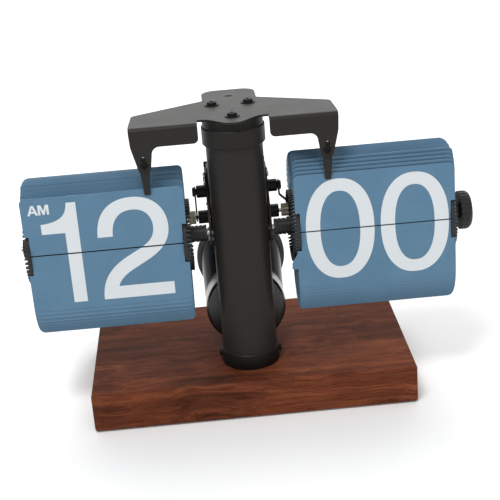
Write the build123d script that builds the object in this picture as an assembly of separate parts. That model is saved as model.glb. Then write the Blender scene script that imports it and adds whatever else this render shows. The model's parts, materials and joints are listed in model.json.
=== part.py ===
"""Desk flip clock: two drums of number leaves on either side of a round column.

Millimetres, +Z up, +X to the right of someone reading the time, -Y towards them.
Everything is laid out about the column's axis, then moved so that the origin is the
centre of the base's underside. Each piece is one STEP file in parts/.
"""
import os
from math import asin, atan2, cos, degrees, hypot, pi, radians, sin, sqrt

from build123d import *

# ---------------------------------------------------------------- driving dimensions
BASE_LENGTH, BASE_DEPTH, BASE_TOP = 235.0, 141.0, 29.4
FELT = 1.0
COLUMN_Y = -31.0                      # column axis, measured from the base's centre
TUBE_R, TUBE_WALL = 20.0, 1.4
FOOT_R, FOOT_TOP = 21.3, 41.0
CAP_R, CAP_LOW, CAP_TOP = 22.1, 197.0, 215.4
CAP_NECK_R, CAP_SHOULDER = 21.2, 209.8
PLATE_TOP, SHEET = 216.9, 1.5         # cross-arm sheet

AXIS_Y, AXIS_Z = 9.5, 127.6           # drum axis, measured from the column's axis
AXLE_R = 2.0
HINGE_R = 24.0                        # radius of the circle of leaf pivots
SPLIT_ANGLE = 6.6                     # the gap between the two halves, above the axis
HOUR_LEAVES, MINUTE_LEAVES = 48, 60

LEAF_IN, LEAF_OUT = 38.3, 151.5       # ends of a leaf, from the middle of the clock
NOTCH_IN, NOTCH_OUT = 41.5, 148.3
LEAF_LENGTH, LEAF_THICK = 40.7, 0.18
HOUR_BELOW, MINUTE_BELOW = 1.15, 0.9  # how far a leaf reaches past its pivot
FRONT_PLAY = 0.25                     # the front leaf's ears lie at the front of their holes
NOTCH_HEIGHT = 12.8
LEAF_CORNER = 3.6
EAR_R, EAR_REACH = 0.4, 1.1             # round ears that turn in the wheels' grooves

RIM_R, RIM_BORE = 26.0, 21.4
CROWN_R = 23.7                        # inner radius of the wheels' crown teeth
GROOVE = (23.15, 24.95)
INNER_RIM = (38.8, 41.1)
OUTER_RIM = (148.7, 151.0)
CROWN_IN, CROWN_OUT = 35.4, 153.0     # how far the crown teeth reach
SLEEVE_R, SLEEVE_END = 6.0, 24.4

CROWN_PITCH_R = 24.8
PINION_R = CROWN_PITCH_R / 6          # both drive pinions turn six times as fast
DRIVE_DISTANCE = CROWN_PITCH_R - PINION_R
DRIVE_ANGLE = 15.0
DRIVE_Y = AXIS_Y + DRIVE_DISTANCE * cos(radians(DRIVE_ANGLE))
DRIVE_Z = AXIS_Z + DRIVE_DISTANCE * sin(radians(DRIVE_ANGLE))
LAY_Y, LAY_Z = DRIVE_Y + 14.0, DRIVE_Z + 5.0
LAY_DISTANCE = hypot(LAY_Y - DRIVE_Y, LAY_Z - DRIVE_Z)
SHAFT_R = 1.5
RUNNING = 0.05                        # radial clearance of a running fit

FRAME_IN, FRAME_OUT = 21.0, 22.6      # faces of the two movement side plates
BAR_Y, BAR_Z, BAR_R = 30.0, 152.5, 4.6

MOTOR_CASE_R, MOTOR_CASE_Z = 30.0, 59.9
MOTOR_CASE_Y = (23.4, 44.0)
SHROUD_BACK_Y, SHROUD_BACK_Z, SHROUD_BACK_R = 64.0, 85.5, 30.8
COVER_R, COVER_BACK_Y = 34.0, 70.5
CASE_WALL = 1.6

WORM_Y, WORM_R, WORM_SHAFT_R = DRIVE_Y + 8.42, 2.5, 1.0
KNOB = (158.6, 167.4)
KNOB_R = 14.0


# ---------------------------------------------------------------- plain shapes
def block(x, y, z):
    size = [x[1] - x[0], y[1] - y[0], z[1] - z[0]]
    return Pos((x[0] + x[1]) / 2, (y[0] + y[1]) / 2, (z[0] + z[1]) / 2) * Box(*size)


def rod_x(y, z, radius, x_low, x_high):
    return Pos((x_low + x_high) / 2, y, z) * Rot(0, 90, 0) * Cylinder(radius, x_high - x_low)


def rod_y(x, z, radius, y_low, y_high):
    return Pos(x, (y_low + y_high) / 2, z) * Rot(90, 0, 0) * Cylinder(radius, y_high - y_low)


def rod_z(x, y, radius, z_low, z_high):
    return Pos(x, y, (z_low + z_high) / 2) * Cylinder(radius, z_high - z_low)


def edges_near(shape, axis, value, kind=None):
    """The edges that lie wholly at one value of x, y or z."""
    picked = []
    for edge in shape.edges():
        box = edge.bounding_box()
        low, high = getattr(box.min, axis), getattr(box.max, axis)
        if abs(low - value) < 1e-4 and abs(high - value) < 1e-4:
            if kind is None or edge.geom_type == kind:
                picked.append(edge)
    return picked


def mirror_x(shape):
    return mirror(shape, Plane.YZ)


def yz_prism(points, x_low, x_high):
    """A prism along X from (y, z) points."""
    face = make_face(Polyline(*[(0, y, z) for y, z in points], close=True))
    return Pos(x_low, 0, 0) * extrude(face, amount=x_high - x_low, dir=(1, 0, 0))


def xz_prism(points, y_low, y_high):
    """A prism along Y from (x, z) points."""
    face = make_face(Polyline(*[(x, 0, z) for x, z in points], close=True))
    return Pos(0, y_low, 0) * extrude(face, amount=y_high - y_low, dir=(0, 1, 0))


def cross_slot(x, y, z_top, size, depth):
    arm = size * 0.24
    return (block((x - size, x + size), (y - arm, y + arm), (z_top - depth, z_top + 1))
            + block((x - arm, x + arm), (y - size, y + size), (z_top - depth, z_top + 1)))


def pan_screw(head_r, head_h, shank_r, length, flange_r=None):
    """A cross-head screw, pointing down, with the underside of its head at z = 0."""
    head = Pos(0, 0, head_h / 2) * Cylinder(head_r, head_h)
    head = fillet(edges_near(head, "Z", head_h), head_h * 0.6)
    if flange_r:
        head += Pos(0, 0, 0.35) * Cylinder(flange_r, 0.7)
    shank = Pos(0, 0, -length / 2) * Cylinder(shank_r, length)
    return head + shank - cross_slot(0, 0, head_h, head_r * 0.55, head_h * 0.55)


# ---------------------------------------------------------------- base and column
def base_block():
    body = block((-BASE_LENGTH / 2, BASE_LENGTH / 2),
                 (-BASE_DEPTH / 2 - COLUMN_Y, BASE_DEPTH / 2 - COLUMN_Y),
                 (FELT, BASE_TOP))
    body = fillet(body.edges(), 1.6)
    body -= rod_z(0, 0, TUBE_R, 0, BASE_TOP + 1)
    return body - rod_z(0, 0, BATTERY_DOOR_R + 0.3, 0, NUT_TOP)


BATTERY_DOOR_R = 25.0
TUBE_FOOT, NUT_TOP = FELT + 3.4, FELT + 8.4


def base_felt():
    edge = 5.0
    sheet = block((-BASE_LENGTH / 2 + edge, BASE_LENGTH / 2 - edge),
                  (-BASE_DEPTH / 2 - COLUMN_Y + edge, BASE_DEPTH / 2 - COLUMN_Y - edge),
                  (0, FELT))
    return sheet - rod_z(0, 0, BATTERY_DOOR_R + 1.5, -1, FELT + 1)


def battery_door():
    disc = rod_z(0, 0, BATTERY_DOOR_R, FELT, FELT + 3.2)
    plug = rod_z(0, 0, TUBE_R - TUBE_WALL - 0.3, FELT + 3.2, FELT + 9.0)
    plug -= rod_z(0, 0, TUBE_R - TUBE_WALL - 2.3, FELT + 4.5, FELT + 9.1)
    plug -= block((-30, 30), (-4.0, 4.0), (FELT + 4.5, FELT + 9.1))
    coin_slot = block((-9, 9), (-1.1, 1.1), (FELT - 1, FELT + 1.4))
    return disc + plug - coin_slot


def foot_collar():
    ring = rod_z(0, 0, FOOT_R, BASE_TOP, FOOT_TOP)
    ring = chamfer(edges_near(ring, "Z", FOOT_TOP), 0.5)
    ring = fillet(edges_near(ring, "Z", BASE_TOP), 0.8)
    ring -= rod_z(0, 0, TUBE_R, BASE_TOP - 1, FOOT_TOP + 1)
    return ring - rod_x(0, FOOT_SCREW_Z, 1.5, -30, 30)


def foot_nut():
    """Ring nut on the tube's lower end, in the recess under the block."""
    ring = rod_z(0, 0, BATTERY_DOOR_R - 0.8, TUBE_FOOT, NUT_TOP)
    ring -= rod_z(0, 0, TUBE_R, TUBE_FOOT - 1, NUT_TOP + 1)
    for k in range(4):
        notch = Rot(0, 0, 90 * k + 45) * block((22.6, 30), (-1.5, 1.5), (TUBE_FOOT - 1, TUBE_FOOT + 2))
        ring -= notch
    return ring


FOOT_SCREW_Z = 36.0


def foot_screws():
    screw = pan_screw(2.6, 1.7, 1.5, 2.9)
    right = Pos(FOOT_R, 0, FOOT_SCREW_Z) * Rot(0, 90, 0) * screw
    return [right, mirror_x(right)]


def column_tube():
    tube = rod_z(0, 0, TUBE_R, TUBE_FOOT, CAP_TOP - 3.0)
    tube -= rod_z(0, 0, TUBE_R - TUBE_WALL, 0, CAP_TOP)
    tube -= rod_x(AXIS_Y, AXIS_Z, AXLE_R, -30, 30)
    for x in SADDLE_X:
        tube -= rod_y(x, MOTOR_CASE_Z, 1.5, 5, 30)
    return tube - rod_x(0, FOOT_SCREW_Z, 1.5, -30, 30)


def column_cap():
    collar = rod_z(0, 0, CAP_R, CAP_LOW, CAP_SHOULDER)
    collar = chamfer(edges_near(collar, "Z", CAP_LOW), 0.5)
    collar = chamfer(edges_near(collar, "Z", CAP_SHOULDER), 0.8)
    collar += rod_z(0, 0, CAP_NECK_R, CAP_SHOULDER, CAP_TOP)
    collar -= rod_z(0, 0, TUBE_R, CAP_LOW - 1, CAP_TOP - 3.0)
    plug = rod_z(0, 0, TUBE_R - TUBE_WALL, CAP_LOW - 2.0, CAP_TOP - 3.0)
    plug -= rod_z(0, 0, TUBE_R - TUBE_WALL - 3.0, CAP_LOW - 3.0, CAP_TOP - 5.0)
    boss = rod_z(*ARM_SCREWS[0], 4.5, CAP_LOW, CAP_TOP - 3.0)
    return collar + plug + boss - rod_z(*ARM_SCREWS[0], 2.0, CAP_TOP - 12.0, CAP_TOP + 1)


ARM_SCREWS = [(0.0, -7.0), (-12.9, 27.4), (12.9, 27.4)]

CELL_R, CELL_LOW, CELL_LENGTH = 17.1, 18.5, 61.5


def battery_cell():
    can = rod_z(0, 0, CELL_R, CELL_LOW, CELL_LOW + CELL_LENGTH - 1.5)
    can = fillet(edges_near(can, "Z", CELL_LOW + CELL_LENGTH - 1.5), 1.2)
    return can + rod_z(0, 0, 4.75, CELL_LOW + CELL_LENGTH - 2.0, CELL_LOW + CELL_LENGTH)


def battery_spring():
    """A conical contact spring on the battery door."""
    low, high = FELT + 5.2, CELL_LOW - 0.6
    path = Helix(pitch=(high - low) / 4, height=high - low, radius=12.0, cone_angle=-20)
    path = Pos(0, 0, low) * path
    start = Plane(origin=path @ 0, z_dir=path % 0)
    return sweep(start * Circle(0.45), path=path, is_frenet=True)


def battery_contact():
    """The upper contact, a disc carried on a moulded bridge inside the tube."""
    low = CELL_LOW + CELL_LENGTH + 0.2
    bridge = rod_z(0, 0, TUBE_R - TUBE_WALL, low + 0.6, low + 4.6)
    bridge -= block((-30, 30), (9.0, 30.0), (low, low + 6))
    bridge -= block((-30, 30), (-30.0, -9.0), (low, low + 6))
    return bridge + rod_z(0, 0, 6.5, low, low + 0.7)


# ---------------------------------------------------------------- cross-arm
LIP_FRONT = -19.6
LIP_BACK = LIP_FRONT + SHEET


def arm_outline():
    """Half of the plan of the cross-arm, for x >= 0, from front to back."""
    bulge = Spline((0, -24.2), (9.0, -19.6), (17.0, -11.8), (22.6, -10.2),
                   tangents=[(1, 0), (1, 0)])
    front = Polyline((22.6, -10.2), (24.4, -10.2), (24.4, LIP_FRONT + 3.2),
                     (71.4, LIP_FRONT + 3.2), (71.4, -12.0), (70.0, 14.6),
                     (19.6, 41.0), (19.6, 69.4), (0, 69.4), (0, -24.2))
    return make_face([bulge, *front.edges()])


def crossarm_plate():
    half = arm_outline()
    corners = [v for v in half.vertices() if v.X > 60 and v.Y > 10]
    half = fillet(corners, 5.0)
    half = fillet([v for v in half.vertices() if v.X > 19 and v.Y > 60], 10.5)
    half = fillet([v for v in half.vertices() if v.X > 19 and 38 < v.Y < 43], 1.5)
    sheet = Pos(0, 0, PLATE_TOP - SHEET) * extrude(half, amount=SHEET, dir=(0, 0, 1))
    sheet += bent_lip()
    whole = sheet + mirror_x(sheet)
    for x, y in ARM_SCREWS:
        whole -= rod_z(x, y, 2.1, PLATE_TOP - 3, PLATE_TOP + 1)
    return whole - block((-2.6, 2.6), (48.2, 51.0), (PLATE_TOP - 3, PLATE_TOP + 1))


def bent_lip():
    """The bend and the hanging lip with its finger bracket, on the right-hand side."""
    outer, inner = 3.2, 3.2 - SHEET
    centre = (LIP_FRONT + outer, PLATE_TOP - outer)
    bend = rod_x(*centre, outer, 24.4, 71.4) - rod_x(*centre, inner, 24.0, 72.0)
    bend = bend & block((24.4, 71.4), (LIP_FRONT, centre[0]), (centre[1], PLATE_TOP))
    top = centre[1]
    points = [(24.4, top), (24.4, 203.3), (56.0, 203.3), (58.4, 186.2), (66.6, 186.2),
              (71.0, 204.5), (71.4, top)]
    face = make_face(Polyline(*[(x, 0, z) for x, z in points], close=True))

    def at(x, z):
        return [v for v in face.vertices() if abs(v.X - x) < 0.1 and abs(v.Z - z) < 0.1]

    face = fillet(at(24.4, 203.3), 3.6)
    face = fillet(at(56.0, 203.3), 5.4)
    face = fillet(at(58.4, 186.2) + at(66.6, 186.2), 1.6)
    face = fillet(at(71.0, 204.5), 12.0)
    lip = Pos(0, LIP_FRONT, 0) * extrude(face, amount=SHEET, dir=(0, 1, 0))
    lip -= rod_y(*LIP_HOLE, 1.75, LIP_FRONT - 1, LIP_BACK + 1)
    lip -= rod_y(FINGER_X, FINGER_SCREW_Z, 1.25, LIP_FRONT - 1, LIP_BACK + 1)
    return bend + lip


LIP_HOLE = (63.0, 195.2)
FINGER_X, FINGER_SCREW_Z = 62.7, 190.4
FINGER_TOP_Z, FINGER_TIP_Z, FINGER_THICK = 196.1, 168.2, 0.8
SET_BACK = 3.1                        # the tip bears on the front leaf


def finger(side):
    """A springy strip behind the lip; its end bears on the front leaf."""
    front = [(LIP_BACK, FINGER_TOP_Z), (LIP_BACK, 184.0), (LIP_BACK + SET_BACK, FINGER_TIP_Z)]
    back = [(y + FINGER_THICK, z) for y, z in reversed(front)]
    strip = yz_prism(front + back, FINGER_X - 6, FINGER_X + 6)
    taper = [(-4.0, 199.0), (4.0, 199.0), (3.4, 186.0), (1.9, FINGER_TIP_Z - 0.5),
             (-1.9, FINGER_TIP_Z - 0.5), (-3.4, 186.0)]
    taper = xz_prism([(x + FINGER_X, z) for x, z in taper], -30, 0)
    strip = strip & taper
    strip -= rod_y(FINGER_X, FINGER_SCREW_Z, 1.2, -30, 0)
    return strip if side > 0 else mirror_x(strip)


def finger_screws():
    screw = Rot(90, 0, 0) * pan_screw(2.7, 1.5, 1.2, 3.6)
    right = Pos(FINGER_X, LIP_FRONT, FINGER_SCREW_Z) * screw
    return [right, mirror_x(right)]


def crossarm_screws():
    screw = pan_screw(3.6, 2.6, 1.9, 7.5, flange_r=5.2)
    return [Pos(x, y, PLATE_TOP) * screw for x, y in ARM_SCREWS]


HANGER_Y = (22.4, 24.0)


def hanger_bracket():
    """Hangs the movement's frame from the cross-arm, behind the column."""
    under = PLATE_TOP - SHEET
    flange = block((-19.0, 19.0), (HANGER_Y[0], 36.0), (under - 2.0, under))
    flange = fillet([e for e in flange.edges().filter_by(Axis.Z) if e.center().Y > 30], 4.0)
    web = block((-19.0, 19.0), HANGER_Y, (162.0, under))
    web -= block((-10.0, 10.0), (20, 30), (172.0, 204.0))
    ears = block((19.0, FRAME_IN), (HANGER_Y[0], 40.0), (148.0, 172.0))
    ears = fillet([e for e in ears.edges().filter_by(Axis.X) if e.center().Y > 39], 5.0)
    ears += mirror_x(ears)
    whole = flange + web + ears
    whole += block((-19.5, 19.5), HANGER_Y, (162.0, 172.0))
    whole -= rod_x(BAR_Y, BAR_Z, BAR_R, -30, 30)
    for x, y in ARM_SCREWS[1:]:
        whole -= rod_z(x, y, 1.9, under - 3, under + 1)
    for y, z in HANGER_SCREWS:
        whole -= rod_x(y, z, 1.2, -30, 30)
    return whole


HANGER_SCREWS = [(27.0, 163.0), (35.5, 163.0)]


# ---------------------------------------------------------------- gears
def gear_points(teeth, pitch_r, addendum, dedendum, share, start):
    """Tooth outline about the origin; share is the tooth's part of the pitch circle."""
    step = 2 * pi / teeth
    points = []
    for k in range(teeth):
        middle = radians(start) + k * step
        for radius, width in ((pitch_r - dedendum, share + 0.16), (pitch_r, share),
                              (pitch_r + addendum, share * 0.42)):
            points.append((radius, middle - width * step / 2))
        for radius, width in ((pitch_r + addendum, share * 0.42), (pitch_r, share),
                              (pitch_r - dedendum, share + 0.16)):
            points.append((radius, middle + width * step / 2))
    return [(r * cos(a), r * sin(a)) for r, a in points]


def spur(y, z, teeth, pitch_r, x, start, bore, addendum=0.9, dedendum=1.1, share=0.42):
    """A spur gear along X; start turns a tooth to that angle from +Y."""
    module = 2 * pitch_r / teeth
    points = gear_points(teeth, pitch_r, addendum * module, dedendum * module, share, start)
    gear = yz_prism([(y + p, z + q) for p, q in points], *x)
    return gear - rod_x(y, z, bore, x[0] - 1, x[1] + 1)


def crown_teeth(teeth, x, start):
    """Teeth that stand out of a wheel's face, with a gap between each two."""
    step = 360 / teeth
    half_in, half_out = 0.14 * step, 0.17 * step
    made = []
    for k in range(teeth):
        a = start + k * step
        corners = [(CROWN_R, a - half_in), (RIM_R, a - half_out),
                   (RIM_R, a + half_out), (CROWN_R, a + half_in)]
        points = [(AXIS_Y + r * cos(radians(t)), AXIS_Z + r * sin(radians(t)))
                  for r, t in corners]
        made.append(yz_prism(points, *x))
    return made


# ---------------------------------------------------------------- drums
def ring_x(x, outer, inner, y=AXIS_Y, z=AXIS_Z):
    return rod_x(y, z, outer, *x) - rod_x(y, z, inner, x[0] - 1, x[1] + 1)


def drum_wheel(teeth, rim, crown, groove, start):
    """A drum's end wheel, built on the right-hand side of the clock."""
    wheel = ring_x(rim, RIM_R, RIM_BORE)
    middle = (rim[0] + rim[1]) / 2
    web = rod_x(AXIS_Y, AXIS_Z, RIM_BORE, middle - 0.8, middle + 0.8)
    for k in range(6):
        a = radians(30 + 60 * k)
        web -= rod_x(AXIS_Y + 14.6 * cos(a), AXIS_Z + 14.6 * sin(a), 5.0, rim[0] - 1, rim[1] + 1)
    wheel += web + rod_x(AXIS_Y, AXIS_Z, 8.5, *rim)
    wheel -= rod_x(AXIS_Y, AXIS_Z, SLEEVE_R, rim[0] - 1, rim[1] + 1)
    wheel -= ring_x(groove, GROOVE[1], GROOVE[0])
    return wheel.fuse(*crown_teeth(teeth, crown, start))


def inner_wheel(teeth, start):
    depth = INNER_RIM[1] - EAR_REACH - 0.5
    return drum_wheel(teeth, INNER_RIM, (CROWN_IN, INNER_RIM[0]),
                      (depth, INNER_RIM[1] + 1), start)


def outer_wheel(teeth, start):
    depth = OUTER_RIM[0] + EAR_REACH + 0.5
    return drum_wheel(teeth, OUTER_RIM, (OUTER_RIM[1], CROWN_OUT),
                      (OUTER_RIM[0] - 1, depth), start)


def drum_tube(outer_end):
    tube = rod_x(AXIS_Y, AXIS_Z, SLEEVE_R, SLEEVE_END, outer_end)
    for k in range(4):
        x = SLEEVE_END + 2.2 + 3.0 * k
        tube -= ring_x((x, x + 0.8), SLEEVE_R + 1, SLEEVE_R - 0.5)
    return tube - rod_x(AXIS_Y, AXIS_Z, AXLE_R + RUNNING, 0, 200)


def time_knob():
    low, high = KNOB
    knob = rod_x(AXIS_Y, AXIS_Z, KNOB_R, low, high)
    knob = fillet(edges_near(knob, "X", high), 4.6)
    knob = fillet(edges_near(knob, "X", low), 0.6)
    for k in range(24):
        a = radians(15 * k)
        knob -= rod_x(AXIS_Y + (KNOB_R + 0.9) * cos(a), AXIS_Z + (KNOB_R + 0.9) * sin(a),
                      1.5, low - 1, high + 1)
    knob -= rod_x(AXIS_Y, AXIS_Z, AXLE_R + RUNNING, low - 1, high + 1)
    return knob


def hour_end_cap():
    end = 156.4
    cap = rod_x(AXIS_Y, AXIS_Z, 7.4, 153.6, end)
    cap = fillet(edges_near(cap, "X", end), 1.6)
    return mirror_x(cap - rod_x(AXIS_Y, AXIS_Z, AXLE_R + RUNNING, 150, 160))


def main_axle():
    rod = rod_x(AXIS_Y, AXIS_Z, AXLE_R, -158.2, 169.0)
    ends = edges_near(rod, "X", -158.2) + edges_near(rod, "X", 169.0)
    return chamfer(ends, 0.5)


# ---------------------------------------------------------------- leaves
def leaf_blank(below, lug=False):
    """One leaf on the right-hand side, pivot along X at v = 0, tip at v = LEAF_LENGTH."""
    reach_in, reach_out = NOTCH_IN - EAR_REACH, NOTCH_OUT + EAR_REACH
    points = [(NOTCH_IN, -below), (NOTCH_OUT, -below), (NOTCH_OUT, NOTCH_HEIGHT), (LEAF_OUT, NOTCH_HEIGHT), (LEAF_OUT, LEAF_LENGTH),
              (LEAF_IN, LEAF_LENGTH)]
    if lug:
        points += [(LEAF_IN, 26.4), (LEAF_IN - 4.4, 26.0), (LEAF_IN - 4.2, 21.6),
                   (LEAF_IN, 14.6)]
    points += [(LEAF_IN, NOTCH_HEIGHT), (NOTCH_IN, NOTCH_HEIGHT)]
    face = make_face(Polyline(*points, close=True))
    tips = [v for v in face.vertices() if v.Y > LEAF_LENGTH - 0.1]
    face = fillet(tips, LEAF_CORNER)
    leaf = Pos(0, 0, -LEAF_THICK / 2) * extrude(face, amount=LEAF_THICK, dir=(0, 0, 1))
    return leaf + rod_x(0, 0, EAR_R, reach_in, NOTCH_IN) + rod_x(0, 0, EAR_R, NOTCH_OUT, reach_out)


def pivot(angle):
    """Pivot of the leaf at this angle above the front of the drum, as (y, z)."""
    a = radians(angle)
    return AXIS_Y - HINGE_R * cos(a), AXIS_Z + HINGE_R * sin(a)


def place_leaf(blank, angle, lean, side, forward=0.0):
    """lean is 0 for upright, 90 for lying back, 180 for hanging."""
    y, z = pivot(angle)
    y -= forward
    t = radians(lean)
    plane = Plane(origin=(0, y, z), x_dir=(1, 0, 0), z_dir=(0, -cos(t), sin(t)))
    leaf = plane.location * blank
    return leaf if side > 0 else mirror_x(leaf)


def upper_leans(pitch, front_leans, lie_back):
    """(angle, lean) of each leaf from the front leaf, over the top, to the back."""
    placed = []
    angle = SPLIT_ANGLE + pitch / 2
    while angle < 180:
        k = len(placed)
        if k < len(front_leans):
            lean = front_leans[k]
        else:
            lean = angle - lie_back * (180 - angle) / 125
        placed.append((angle, lean))
        angle += pitch
    return placed


def hanging_angles(pitch, count):
    """Angle of each hanging leaf's pivot, from the front one, under, to the back."""
    return [SPLIT_ANGLE - pitch / 2 - k * pitch for k in range(count)]


def hanging_play(angle, pitch):
    """How far a hanging leaf's ears sit forward, so that it clears the one under it."""
    behind = pivot(angle - pitch)[0] - pivot(angle)[0]
    return max(0.0, LEAF_THICK + 0.05 - behind) if angle > -30 else 0.0


MINUTE_FRONT_LEANS = [0.5, 1.2, 2.1, 3.1, 4.4]
HOUR_FRONT_LEANS = [0.5, 12.6, 17.6, 20.0]
MINUTE_LIE_BACK, HOUR_LIE_BACK = 20.0, 9.5


def leaf_pack(count, front_leans, lie_back, below, side, lug):
    """Every leaf of a drum except the front one, which is a node of its own."""
    pitch = 360 / count
    blank = leaf_blank(below)
    upper = upper_leans(pitch, front_leans, lie_back)
    leaves = [place_leaf(blank, *place, side) for place in upper[1:]]
    for angle in hanging_angles(pitch, count - len(upper)):
        first = lug and angle > 0
        leaf = leaf_blank(below, lug=True) if first else blank
        leaves.append(place_leaf(leaf, angle, 180, side, hanging_play(angle, pitch)))
    return leaves


def front_leaf(count, front_leans, below, side):
    angle = SPLIT_ANGLE + 180 / count
    return place_leaf(leaf_blank(below), angle, front_leans[0], side, FRONT_PLAY)


# ---------------------------------------------------------------- movement
def frame_plate():
    """Right-hand side plate; the drum axle, drive shafts and cross bar run through it."""
    outline = [(1.5, 120.0), (1.5, 135.0), (20.0, 160.5), (24.0, 168.0), (40.0, 168.6),
               (58.4, 150.0), (58.4, 121.5), (44.0, 115.4), (16.0, 115.4)]
    plate = yz_prism(outline, FRAME_IN, FRAME_OUT)
    plate = fillet(plate.edges().filter_by(Axis.X), 4.0)
    plate -= rod_x(AXIS_Y, AXIS_Z, AXLE_R, 0, 40)
    plate -= rod_x(DRIVE_Y, DRIVE_Z, SHAFT_R + RUNNING, 0, 40)
    plate -= rod_x(LAY_Y, LAY_Z, 1.0 + RUNNING, 0, 40)
    plate -= rod_x(BAR_Y, BAR_Z, BAR_R, 0, 40)
    for y, z in SPACERS + HANGER_SCREWS:
        plate -= rod_x(y, z, 1.2, 0, 40)
    return plate


SPACERS = [(23.0, 118.4), (53.3, 125.4), (53.6, 150.0)]


def frame_spacers():
    posts = []
    for y, z in SPACERS:
        post = rod_x(y, z, 2.4, -FRAME_IN, FRAME_IN) + rod_x(y, z, 1.2, -FRAME_OUT, FRAME_OUT)
        for x in ((-30, 6 - FRAME_OUT), (FRAME_OUT - 6, 30)):
            post -= rod_x(y, z, 0.7, *x)
        posts.append(post)
    return posts


def frame_screws():
    head = Rot(0, 90, 0) * pan_screw(2.2, 1.3, 0.7, 5.0)
    spots = []
    for y, z in SPACERS:
        spots.append(Pos(FRAME_OUT, y, z) * head)
    bolt = Rot(0, 90, 0) * pan_screw(2.2, 1.3, 1.2, FRAME_OUT - 19.0 + 1.0)
    for y, z in HANGER_SCREWS:
        spots.append(Pos(FRAME_OUT, y, z) * bolt)
    return spots + [mirror_x(s) for s in spots]


def gearbox_cover():
    """A folded cover over the top, back and underside of the gear train."""
    outer = [(41.5, 171.5), (60.5, 151.6), (60.5, 120.0), (45.0, 113.6), (33.0, 113.6)]
    inner = [(33.0, 114.6), (44.7, 114.6), (59.5, 120.6), (59.5, 151.2), (40.9, 170.7)]
    shell = yz_prism(outer + inner, -FRAME_OUT, FRAME_OUT)
    return shell - rod_z(0, WORM_Y, 2.4, 100, 125)


BAR_END, ARM_X, ARM_THICK = 29.6, 30.0, 1.2


def cross_bar():
    bar = rod_x(BAR_Y, BAR_Z, BAR_R, -BAR_END, BAR_END)
    bar = chamfer(edges_near(bar, "X", -BAR_END) + edges_near(bar, "X", BAR_END), 0.6)
    return bar + rod_x(BAR_Y, BAR_Z, 2.4, -ARM_X - 1.9, ARM_X + 1.9)


def bar_collars():
    """Screwed collars that keep the shaft arms on the bar's ends."""
    end = ARM_X + ARM_THICK + 1.4
    right = rod_x(BAR_Y, BAR_Z, 3.4, ARM_X + ARM_THICK, end)
    right = chamfer(edges_near(right, "X", end), 0.5) - rod_x(BAR_Y, BAR_Z, 2.4, 30, ARM_X + 1.9)
    return [right, mirror_x(right)]


def eye(y, z, radius, bore, x):
    """A flat ring across X; its bore goes right through what it is fused to."""
    return rod_x(y, z, radius, *x), rod_x(y, z, bore, x[0] - 1, x[1] + 1)


def hour_shaft_arm():
    """Hangs straight down from the bar's end and carries the drive shaft."""
    x = (ARM_X, ARM_X + ARM_THICK)
    upper, upper_bore = eye(BAR_Y, BAR_Z, 4.0, 2.4, x)
    lower, lower_bore = eye(DRIVE_Y, DRIVE_Z, 3.3, SHAFT_R + RUNNING, x)
    strip = block(x, (BAR_Y - 2.4, BAR_Y + 1.9), (DRIVE_Z, BAR_Z))
    return mirror_x(strip + upper + lower - upper_bore - lower_bore)


def minute_shaft_arm():
    """Cranked outwards over the pinion to carry the drive shaft's outer end."""
    inner, outer = ARM_X, MESH_X[1] + 0.2
    bend_top, bend_low = BAR_Z - 6.0, DRIVE_Z + 6.6
    points = [(inner, BAR_Z), (inner, bend_top), (outer, bend_low), (outer, DRIVE_Z),
              (outer + ARM_THICK, DRIVE_Z), (outer + ARM_THICK, bend_low + 0.5),
              (inner + ARM_THICK, bend_top + 0.5), (inner + ARM_THICK, BAR_Z)]
    strip = xz_prism(points, BAR_Y - 5.8, BAR_Y - 2.7)
    upper, upper_bore = eye(BAR_Y, BAR_Z, 4.0, 2.4, (inner, inner + ARM_THICK))
    lower, lower_bore = eye(DRIVE_Y, DRIVE_Z, 2.7, SHAFT_R + RUNNING, (outer, outer + ARM_THICK))
    return strip + upper + lower - upper_bore - lower_bore


def bearing_tube():
    """Carries the outer end of a drive shaft, beside the frame."""
    tube = rod_x(DRIVE_Y, DRIVE_Z, 4.9, FRAME_OUT, 29.7)
    tube = fillet(edges_near(tube, "X", 29.7), 0.6)
    return tube - rod_x(DRIVE_Y, DRIVE_Z, SHAFT_R + RUNNING, 20, 40)


MESH_X = (31.5, 36.7)
DRIVE_GEAR_X = (14.4, 17.0)
WORM_WHEEL_X = (-2.0, 2.0)


def drive_pinion(teeth):
    """Meshes inside the ring of crown teeth; one tooth points at DRIVE_ANGLE."""
    gear = spur(DRIVE_Y, DRIVE_Z, teeth, PINION_R, MESH_X, DRIVE_ANGLE, SHAFT_R,
                addendum=0.78 / (2 * PINION_R / teeth), dedendum=1.05 / (2 * PINION_R / teeth),
                share=0.30)
    flange = ring_x((MESH_X[0], MESH_X[0] + 0.9), 3.9, SHAFT_R, DRIVE_Y, DRIVE_Z)
    return gear + flange


def drive_shaft(x_low, x_high):
    return chamfer(rod_x(DRIVE_Y, DRIVE_Z, SHAFT_R, x_low, x_high).edges()
                   .filter_by(GeomType.CIRCLE), 0.3)


LAY_ANGLE = degrees(atan2(LAY_Z - DRIVE_Z, LAY_Y - DRIVE_Y))
MINUTE_DRIVE_TEETH, LAY_WHEEL_TEETH = 12, 60
LAY_PINION_TEETH, HOUR_DRIVE_TEETH = 10, 48


def pitch_radii(driver, driven):
    module = LAY_DISTANCE / (driver + driven)
    return module * driver, module * driven


def minute_drive_gear():
    radius, _ = pitch_radii(MINUTE_DRIVE_TEETH, LAY_WHEEL_TEETH)
    return spur(DRIVE_Y, DRIVE_Z, MINUTE_DRIVE_TEETH, radius, DRIVE_GEAR_X, LAY_ANGLE, SHAFT_R,
                dedendum=0.95)


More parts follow.
